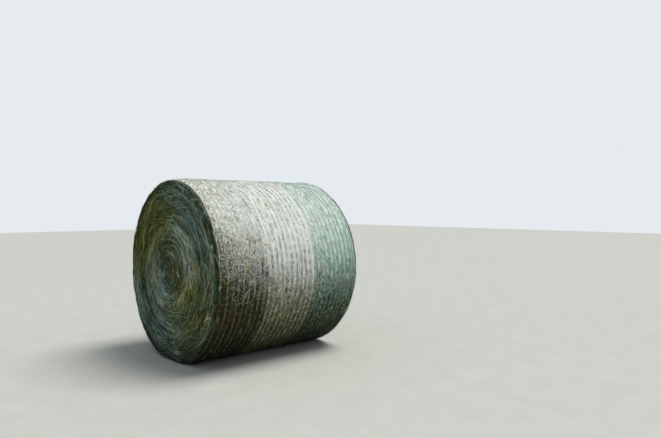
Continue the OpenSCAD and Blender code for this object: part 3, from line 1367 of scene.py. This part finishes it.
@dataclass
class FaceStems:
    """The stems that an end face shows, swept round in the arcs that the rolling gave them.

    Some are strays that lie across, some lie in locks of stems that belong together, a few are loose
    wisps, and some stand in tufts. A pair of numbers holds a draw's least and greatest value, or for
    a sweep its middle and its spread; "turn", "tilt" and "pale" alone are spreads.
    """

    form: BaleForm
    bundle: Bundle
    end: End
    count: int = 9500
    locks: int = 420
    wisps: int = 80
    strays: float = 0.22
    locked: float = 0.45
    length: Span = (0.07, 0.26)
    width: Span = (0.0020, 0.0046)
    thick: Span = (0.002, 0.004)
    bed: Span = (-0.003, 0.009)
    tilt: float = 0.03
    sweep: Span = (0.05, 0.24)
    stray_turn: float = 0.7
    stray_length: float = 0.45
    lock_sweep: Span = (0.05, 0.26)
    lock_turn: float = 0.13
    lock_rise: Span = (-0.002, 0.004)
    lock_pale: float = 0.15
    lock_w: float = 0.011
    lock_reach: float = 0.035
    wisp_tilt: Span = (0.08, 0.3)
    wisp_turn: float = 1.2
    wisp_pale: float = 0.7
    tuft_turn: float = 0.35
    tuft_rise: Span = (0.009, 0.015)
    tuft_pale: Span = (0.25, 0.9)
    margin: float = 0.014
    tip_margin: float = 0.008
    eye_r: float = 0.055
    # Outer ring of the face, painted darker as the shaded shoulder
    shaded_rim: Zone = Zone(0.77, 0.8)
    far_turn: float = 110
    tufts: tuple[Tuft, ...] = FACE_TUFTS
    arcs: Waves = field(default_factory=lambda: Waves(ARC_SEED, 40, 1.4, 0.2, 0.5))

    def build(self) -> bpy.types.Object:
        """Sweeps the stems round over the end face.

        Returns:
            The piece.
        """
        rng = np.random.default_rng(FACE_SEED + self.end.value)
        n = self.count
        reach = self.form.hay_r - self.margin
        radius = np.sqrt(rng.uniform(0.0004, 1, n)) * reach
        angle = rng.uniform(-math.pi, math.pi, n)
        stray = rng.random(n) < self.strays
        heading = np.where(stray, rng.normal(0, self.stray_turn, n), rng.normal(*self.sweep, n))
        rise = rng.uniform(*self.bed, n)
        lock = rng.integers(0, self.locks, n)
        in_lock = rng.random(n) < self.locked
        lock_r = np.sqrt(rng.uniform(0.004, 1, self.locks))[lock] * reach
        lock_a = rng.uniform(-math.pi, math.pi, self.locks)[lock]
        lock_a += rng.normal(0, self.lock_reach, n) / np.maximum(lock_r, 0.1)
        lock_r = np.clip(lock_r + rng.normal(0, self.lock_w, n), 0.01, reach)
        radius = np.where(in_lock, lock_r, radius)
        angle = np.where(in_lock, lock_a, angle)
        swept = rng.normal(*self.lock_sweep, self.locks)[lock] + rng.normal(0, self.lock_turn, n)
        heading = np.where(in_lock & ~stray, swept, heading)
        rise = np.where(in_lock, rise + rng.uniform(*self.lock_rise, self.locks)[lock], rise)
        paler = np.where(in_lock, rng.normal(0, self.lock_pale, self.locks)[lock], 0)
        length = rng.uniform(*self.length, n) * np.clip(radius / 0.3, 0.3, 1)
        length *= np.where(stray, self.stray_length, 1)
        size = (length, rng.uniform(*self.width, n), rng.uniform(*self.thick, n))
        loose = np.arange(n) < self.wisps
        tilt = np.where(loose, rng.uniform(*self.wisp_tilt, n), rng.normal(0, self.tilt, n))
        heading = np.where(loose, rng.uniform(-self.wisp_turn, self.wisp_turn, n), heading)
        paler, first = np.where(loose, self.wisp_pale, paler), n
        for tuft in self.tufts:
            part = slice(first - tuft.count, first)
            radius[part] = tuft.place + rng.normal(0, tuft.spread, tuft.count)
            angle[part] = math.radians(tuft.angle) + rng.normal(0, tuft.spread, tuft.count) / tuft.place
            heading[part] = tuft.heading + rng.normal(0, self.tuft_turn, tuft.count)
            length[part] = tuft.length * rng.uniform(0.7, 1.2, tuft.count)
            rise[part] = rng.uniform(*self.tuft_rise, tuft.count)
            paler[part] = rng.uniform(*self.tuft_pale, tuft.count)
            first = part.start
        return self._lay(rng, Pose(angle, radius, heading, tilt, rise), size, paler)

    def _lay(
        self, rng: np.random.Generator, pose: Pose, size: Sequence[Array], paler: Array
    ) -> bpy.types.Object:
        """Bends the stems round the axis and gives them their tints.

        Args:
            rng: The piece's random numbers.
            pose: How each stem lies, placed by its radius.
            size: Length, width and thickness of each stem.
            paler: How much paler each stem is than its place on the face makes it.

        Returns:
            The piece.
        """
        form, radius = self.form, pose.place[:, None]
        around, outward, thick, lift = pose.turn(self.bundle.points, size)
        radii = np.clip(radius + outward, 0.004, form.hay_r - self.tip_margin)
        angles = pose.angle[:, None] + around / np.maximum(radius, 0.02)
        past = np.maximum(radii - (form.hay_r - form.shoulder_r), 0)
        fall = form.shoulder_r - np.sqrt(form.shoulder_r**2 - past**2)
        proud = pose.rise[:, None] + thick + np.maximum(lift, -0.004) - fall
        placed = form.on_face(angles, radii, proud, self.end)
        tints = self._tint(rng, pose, paler)
        return self.bundle.lay(f"face_stems_{self.end.name.lower()}", placed, tints)

    def _tint(self, rng: np.random.Generator, pose: Pose, paler: Array) -> Array:
        """Draws the tints, on the patches of the near face, turned on for the far one; some patches and the
        darker outer ring are painted shade.

        Args:
            rng: The piece's random numbers.
            pose: How each stem lies.
            paler: How much paler each stem is.

        Returns:
            Each stem's tone, warmth, light and hue.
        """
        angle, radius, n = pose.angle, pose.place, len(paler)
        far = int(self.end is End.FAR)
        turned = np.degrees(angle) + far * self.far_turn
        shares = np.stack([patch.share(turned, radius) for patch in PATCHES])
        warmths, tones = np.array([(patch.warmth, patch.tone) for patch in PATCHES]).T
        eye, shaded_rim = np.clip(1.3 - radius / self.eye_r, 0, 1), self.shaded_rim.share(radius)
        # The far face is painted warmer and less blue, since the near face's cool tint is partly painted
        # shade
        warm = 0.42 + 0.22 * far + rng.normal(0, 0.17, n) + 0.6 * eye + warmths @ shares
        warm += 0.05 * self.arcs.at(angle + 4, radius * 3)
        tone = rng.normal(0.495, 0.24, n) + paler - 0.22 * shaded_rim - 0.28 * eye + tones @ shares
        tone += 0.12 * self.arcs.at(angle, radius * 5 + angle * self.form.lap_pitch)
        light = np.clip(0.8 + 25 * pose.rise, 0.55, 1)
        hue = np.clip(rng.normal(0.5, 0.26, n) + 0.13 * self.arcs.at(angle + 2, radius * 4), 0, 1)
        hue = np.where(paler > 0.5, 0.5, hue - 0.3 * eye - 0.15 * far)
        return np.stack([np.clip(tone, 0.04, 1), np.clip(warm, 0, 1), light, hue], axis=-1)


@dataclass
class NetBand:
    """One band of the knitted net: chain cords round the bale, and threads that zigzag between them.

    Attributes:
        form: The bale's form.
        band: Which band it is.
        chains: Places of its chain cords along the axis.
        cord_w: Width of a chain cord.
        cord_t: Thickness of a chain cord.
        finish: Its material's finish.
        edge: Place of its edge cord, if it has one.
        next_chain: Place of the next band's first cord, if its threads reach that one.
        clear: How much of the sinking in the hay its cords are spared all round.
        layers: Number of times that the net goes round.
        edge_size: Width of the edge cord.
        over_hay: Height of a cord's middle over the hay, in the first layer.
        layer_t: How much higher the next layer lies.
        sink: How deep the hay may bury a cord, for each unit of the waves.
        waver: Least and greatest reach of each wave in a cord's course.
        spacing: How far apart the layers' cords lie, in widths of a cord.
        thread: Half the width and half the thickness of a thread.
        thread_layers: Number of threads between two cords.
        thread_at: How high a thread lies in the hay's bulges, as a share of a bulge.
        thread_room: How far it lies over that.
        thread_play: How far its turning points lie off the cords, as a spread.
        uneven: How far a thread's turning points lie off their even places, as a share of a step.
        map_gap: Room beside each cord's strip in the map, in widths of its faces.
        around: Number of a cord's sections.
        zigzags: Number of a thread's ways to and fro.
    """

    form: BaleForm
    band: Band
    chains: list[float]
    cord_w: float
    cord_t: float
    finish: TapeFinish
    edge: float | None = None
    next_chain: float | None = None
    clear: float = 0.0
    layers: float = 2.6
    edge_size: float = 0.008
    over_hay: float = 0.0034
    layer_t: float = 0.0004
    sink: float = 0.0026
    waver: Span = (0.0006, 0.0018)
    spacing: float = 1.25
    thread: Span = (0.0012, 0.0007)
    thread_layers: int = 2
    thread_at: float = 0.55
    thread_room: float = 0.001
    thread_play: float = 0.0015
    uneven: float = 0.32
    map_gap: float = 0.1
    around: int = 240
    zigzags: int = 84

    def build(self) -> bpy.types.Object:
        """Models the band's cords and threads, and joins them.

        Returns:
            The piece.
        """
        rng = np.random.default_rng(NET_SEED + len(self.chains))
        parts = []
        for y in self.chains:
            for layer in range(math.ceil(self.layers)):
                parts.append(self._cord(rng, y, layer))
        if self.edge is not None:
            parts.append(self._cord(rng, self.edge, 0, self.edge_size / self.cord_w))
        lines = sorted([*self.chains, *(y for y in (self.edge, self.next_chain) if y is not None)])
        for low, high in zip(lines, lines[1:]):
            for layer in range(self.thread_layers):
                parts.append(self._zigzag(rng, low, high, layer))
        return self._join(parts)

    def _cord(self, rng: np.random.Generator, y: float, layer: int, scale: float = 1.0) -> Run:
        """Lays one chain cord round the bale.

        Args:
            rng: The band's random numbers.
            y: Its place along the axis.
            layer: Which of the net's layers it belongs to; the last one goes only part of the way.
            scale: How much thicker it is than the band's other cords.

        Returns:
            Its sections, each of a few points, and whether it closes on itself.
        """
        share = min(self.layers - layer, 1.0)
        steps = round(self.around * share)
        angle = self.form.tail_at + np.linspace(0, 2 * math.pi * share, steps, endpoint=share < 1)
        waver = np.zeros(steps)
        for k in (2, 3, 5, 8, 13, 21):
            waver += rng.uniform(*self.waver) * np.sin(angle * k + rng.uniform(0, 6.3))
        gather = np.sin(3 * angle + 2.1 * y / self.form.chain_pitch) * np.sin(7 * angle + 40 * y)
        aside = (layer - (math.ceil(self.layers) - 1) / 2) * self.cord_w * self.spacing
        centre = y + aside * (0.8 + 0.35 * gather) + waver * scale
        line, level = np.full_like(angle, y), self.form.level(angle)
        buried = np.clip(self.form.bury.at(angle, line) + 0.2, 0, 1.4) * (0.2 + 0.8 * damp_and_shade(level, line))
        sunk = self.sink * buried * (1 - 0.8 * np.maximum(DEEP.share(level), self.clear))
        base = self.form.swell(angle, line) + self.over_hay + self.layer_t * layer - sunk
        ring = math.pi * (np.arange(4) / 2 + 0.25)
        over = centre[:, None] + scale * self.cord_w / math.sqrt(2) * np.cos(ring)
        height = base[:, None] + scale * self.cord_t / math.sqrt(2) * np.sin(ring)
        return self.form.on_side(np.broadcast_to(angle[:, None], over.shape), over, height), share >= 1

    def _zigzag(self, rng: np.random.Generator, low: float, high: float, layer: int) -> Run:
        """Lays one thread to and fro between two chain cords.

        Args:
            rng: The band's random numbers.
            low: Place of one cord along the axis.
            high: Place of the other.
            layer: The net's layer.

        Returns:
            Its sections, each of a few points, and that it closes on itself.
        """
        steps = 2 * (self.zigzags + 3 * layer)
        angle = np.arange(steps) + rng.uniform(-self.uneven, self.uneven, steps)
        angle *= 2 * math.pi / steps
        angle += rng.uniform(0, 0.1)
        y = np.where(np.arange(steps) % 2 == 0, low, high) + rng.normal(0, self.thread_play, steps)
        ring = 2 * math.pi * np.arange(3) / 3 + math.pi / 2
        base = self.form.swell(angle, y) + self.form.bulge * self.thread_at + self.thread_room
        angles = angle[:, None] + self.thread[0] * np.cos(ring) / self.form.hay_r
        height = base[:, None] + self.thread[1] * np.sin(ring)
        return self.form.on_side(angles, np.broadcast_to(y[:, None], height.shape), height), True

    def _join(self, parts: Sequence[Run]) -> bpy.types.Object:
        """Skins each run of sections and joins the runs in one mesh.

        Args:
            parts: The sections of each run, and whether it closes on itself.

        Returns:
            The piece.
        """
        name = f"{self.band.value}_threads"
        points, faces, corners, start = [], [], [], 0
        for row, (sections, closed) in enumerate(parts):
            steps, sides = sections.shape[:2]
            points.append(sections.reshape(-1, 3))
            edges = (np.arange(sides + 1) + self.map_gap) / (sides + 2 * self.map_gap)
            strips = ((row + edges) / len(parts)).tolist()
            for i in range(steps if closed else steps - 1):
                here, ahead = start + i * sides, start + (i + 1) % steps * sides
                for s in range(sides):
                    t = (s + 1) % sides
                    faces.append([here + s, ahead + s, ahead + t, here + t])
                    corners += self._cell(i / steps, (i + 1) / steps, strips[s], strips[s + 1])
            if not closed:
                last = start + (steps - 1) * sides
                faces += [list(range(start, start + sides))[::-1], list(range(last, last + sides))]
                corners += 2 * self._cell(0.0, 0.002, row / len(parts), (row + 0.5) / len(parts))
            start += steps * sides
        mesh = bpy.data.meshes.new(name)
        mesh.from_pydata(np.concatenate(points).tolist(), [], faces)
        piece = Bench.put(name, mesh)
        Bench.set_map(piece, "OFBake", np.array(corners))
        Bench.clear()
        piece.select_set(True)
        bpy.context.view_layer.objects.active = piece
        with Bench.editing():
            bpy.ops.mesh.normals_make_consistent(inside=False)
        bpy.ops.object.shade_smooth()
        return piece

    @staticmethod
    def _cell(left: float, right: float, low: float, high: float) -> list[list[float]]:
        """Returns the four corners of a face's place in the map."""
        return [[left, low], [right, low], [right, high], [left, high]]

    def dress(self, piece: bpy.types.Object) -> None:
        """Finishes the band and puts it in place of its plain one."""
        name = self.band.value
        Bench.mount(piece, name, self.finish.material(f"{name}_tape"), name)


@dataclass
class Studio:
    """The pale floor, the soft light and the camera."""

    eye: tuple[float, float, float] = (4.865, -3.244, 1.388)
    look: tuple[float, float, float] = (88.83, 0.0, 47.7)
    lens: float = 31.68
    key: tuple[float, float, float] = (0.17, 0.38, 0.91)
    key_level: float = 2.5
    key_spread: float = math.radians(34)
    world_level: float = 0.43

    def build(self) -> None:
        """Sets up the floor, the light and the camera."""
        self._floor()
        self._lamp()
        self._world()
        data = bpy.data.cameras.new("camera")
        data.lens, data.sensor_width = self.lens, 36.0
        data.clip_start, data.clip_end = 0.1, 100.0
        camera = Bench.put("camera", data)
        camera.location = self.eye
        camera.rotation_euler = Euler([math.radians(a) for a in self.look])
        bpy.context.scene.camera = camera
        bpy.context.scene.view_settings.view_transform = "Standard"

    def _floor(self) -> None:
        """Lays the plain pale floor."""
        Bench.clear()
        bpy.ops.mesh.primitive_plane_add(size=60, location=(0, 0, -0.0005))
        floor = Bench.name("floor")
        sheet = Sheet(bpy.data.materials.new("floor"))
        grain = sheet.noise(sheet.place(), 4.0, 2.0)
        colour = sheet.ramp(grain, [(0.3, (0.77, 0.77, 0.74)), (0.7, (0.79, 0.79, 0.76))])
        Bench.paint(floor, sheet.close(colour, 0.9, grain, 0.0001))

    def _lamp(self) -> None:
        """Hangs the large soft lamp high over the far end."""
        lamp = bpy.data.lights.new("key", "SUN")
        lamp.energy, lamp.angle = self.key_level, self.key_spread
        lamp.color = linear((1.0, 1.0, 0.98))[:3]
        piece = Bench.put("key", lamp)
        way = Vector(self.key).normalized()
        piece.location = way * 6
        piece.rotation_euler = way.to_track_quat("Z", "Y").to_euler()

    def _world(self) -> None:
        """Gives the soft light from all round, and a pale background."""
        world = bpy.data.worlds.new("studio")
        bpy.context.scene.world = world
        sheet = Sheet(world)
        soft = {"Color": linear((0.93, 0.96, 1.0)), "Strength": self.world_level}
        light = sheet.add("ShaderNodeBackground", None, soft)
        seen = sheet.add("ShaderNodeBackground", None, {"Color": linear((0.90, 0.92, 0.94))})
        rays = sheet.signal(sheet.add("ShaderNodeLightPath"), "Is Camera Ray")
        mixed = {0: rays, 1: light.outputs[0], 2: seen.outputs[0]}
        both = sheet.add("ShaderNodeMixShader", None, mixed)
        sheet.add("ShaderNodeOutputWorld", None, {"Surface": both.outputs[0]})


@dataclass
class Bale:
    """The whole bale."""

    form: BaleForm = field(default_factory=BaleForm)

    def chains(self, first: int, last: int) -> list[float]:
        """Returns the places of a run of chain cords along the axis."""
        return [self.form.chain_shift + i * self.form.chain_pitch for i in range(first, last + 1)]

    def build(self) -> None:
        """Builds and dresses each part in order."""
        self._dress_nodes()
        skin = HaySkin(self.form)
        skin.dress(skin.build())
        leaf, stalk, curved = StemModel(1).build(), StemModel(2).build(), StemModel(3).build()
        # Round-side stems run from bleached tones, painted as if sunlit, to dark ones that are partly painted
        # shade; end-face stems' cool tones are partly painted shade
        side = StemFinish(SIDE_HUES).material("side_stems", WEATHERED_AND_SUNLIT, DAMP_AND_SHADED)
        face = StemFinish(FACE_HUES).material("face_stems", COOL_AND_SHADED, WARM)
        for end in End:
            tufts = SIDE_TUFTS if end is End.NEAR else ()
            Bench.mount(SideStems(self.form, stalk, STALKS, end, tufts).build(), "hay", side)
            Bench.mount(SideStems(self.form, leaf, LEAVES, end).build(), "hay", side)
            Bench.mount(FaceStems(self.form, curved, end).build(), "hay", face)
        for band in self._bands():
            band.dress(band.build())

    def _dress_nodes(self) -> None:
        """Gives the rolled turns and the core their hay."""
        material = CutHayFinish(self.form.axis_z).material()
        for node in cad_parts.values():
            if not node.name.startswith("net_"):
                Bench.paint(node, material)

    def _bands(self) -> list[NetBand]:
        """Lists the net's three bands.

        Returns:
            The bands, from the near end to the far one.
        """
        form = self.form
        near_edge = -(form.shoulder_y + form.shoulder_r * form.near_wrap)
        pale = TapeFinish(
            (0.95, 0.97, 0.99), (0.89, 0.86, 0.77), (0.42, 0.40, 0.21), reach=-0.1, cleaner_along=1.1
        )
        white = TapeFinish((0.99, 1.0, 1.0), (0.98, 0.98, 0.96), (0.70, 0.69, 0.58), reach=0.3, lag=0.2)
        # The teal tape's paler upper colour, stronger higher up, is partly a painted sheen
        teal = TapeFinish(
            (0.57, 0.81, 0.76),
            (0.84, 0.93, 0.90),
            (0.34, 0.42, 0.36),
            reach=0.78,
            cleaner_along=1.0,
            dust_and_sheen_higher=1.2,
        )
        first, second, third = self.chains(-13, -6), self.chains(-5, 4), self.chains(5, 13)
        far_edge = form.shoulder_y - form.far_bare
        return [
            NetBand(form, Band.PALE, first, 0.0044, 0.003, pale, near_edge, second[0], clear=0.9),
            NetBand(form, Band.WHITE, second, 0.0066, 0.0034, white, next_chain=third[0]),
            NetBand(form, Band.TEAL, third, 0.0056, 0.0034, teal, far_edge),
        ]


def main() -> None:
    """Builds the bale and its studio."""
    logging.basicConfig(level=logging.INFO, format="%(name)s %(message)s")
    Bale().build()
    Studio().build()


if __name__ == "__main__":
    main()
